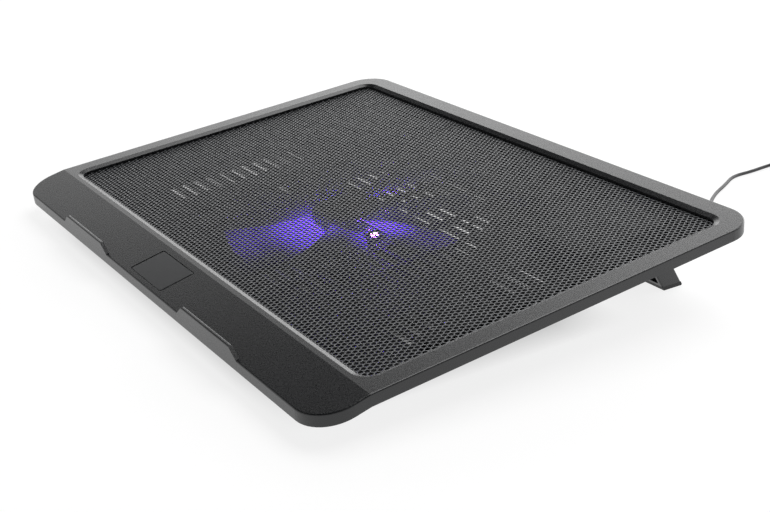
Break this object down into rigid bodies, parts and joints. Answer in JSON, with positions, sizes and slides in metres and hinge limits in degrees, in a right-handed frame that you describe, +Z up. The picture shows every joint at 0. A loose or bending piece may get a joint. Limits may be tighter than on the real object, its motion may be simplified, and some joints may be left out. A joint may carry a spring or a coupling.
{
  "type": "laptop cooling pad",
  "caption": "Flat tilted laptop cooling pad: perforated deck in a rounded frame over a shallow slotted tray, large lit fan, fold-out rear feet and USB lead.",
  "frame": {"origin": "on the desk, under the middle of the pad's own box (lead left out), with the rear feet open", "axes": "+X to the right along the deck's width, +Y to the rear, +Z up from the desk; the deck itself is tipped about X by 6.64 degrees, rear side up"},
  "size_m": [0.34, 0.4731, 0.0467],
  "materials": {
    "case": "fine moulded texture, satin",
    "badge": "smooth moulded",
    "mesh": "black coated expanded steel, speckled",
    "fan": "smoked translucent moulding",
    "led": "blue diode lens",
    "steel": "turned and ground",
    "stack": "laminated sheet steel",
    "magnet": "bonded ferrite",
    "bronze": "sintered, oil-filled",
    "brass": "turned",
    "copper": "enamelled wire",
    "board": "solder-masked laminate",
    "rubber": "moulded, matt",
    "lead": "extruded soft PVC",
    "plug": "over-moulded PVC",
    "shell": "nickel-plated sheet steel",
    "tongue": "moulded",
    "gold": "gold-flashed"
  },
  "bodies": {
    "pad": {"top_frame": "case", "badge_plate": "badge", "mesh_panel": "mesh", "bottom_tray": "case", "case_screws": "steel", "motor_plate": "case", "motor_screws": "steel", "bearing_holder": "brass", "sleeve_bearing": "bronze", "stator_core": "stack", "stator_windings": "copper", "fan_board": "board", "fan_leds": "led", "left_foot_pin": "steel", "right_foot_pin": "steel", "left_front_pad": "rubber", "right_front_pad": "rubber", "cable_grommet": "rubber", "fan_lead": "lead", "usb_lead": "lead", "lead_coil": "lead", "coil_tie": "plug", "plug_lead": "lead", "usb_plug_body": "plug", "usb_plug_shell": "shell", "usb_plug_tongue": "tongue", "usb_plug_contacts": "gold"},
    "fan_rotor": {"impeller": "fan", "rotor_cup": "steel", "ring_magnet": "magnet", "fan_shaft": "steel", "shaft_clip": "steel"},
    "left_rear_foot": {"left_foot": "case", "left_foot_tip": "rubber"},
    "right_rear_foot": {"right_foot": "case", "right_foot_tip": "rubber"}
  },
  "joints": [
    {"name": "fan_spin", "type": "hinge", "parent": "pad", "child": "fan_rotor", "pos_m": [0, -0.00384, 0.02559], "axis": [0, -0.1156, 0.9933], "continuous": true},
    {"name": "left_foot_fold", "type": "hinge", "parent": "pad", "child": "left_rear_foot", "pos_m": [-0.1145, 0.08989, 0.03157], "axis": [1, 0, 0], "range_deg": [-117.4, 0]},
    {"name": "right_foot_fold", "type": "hinge", "parent": "pad", "child": "right_rear_foot", "pos_m": [0.1145, 0.08989, 0.03157], "axis": [1, 0, 0], "range_deg": [-117.4, 0]}
  ]
}
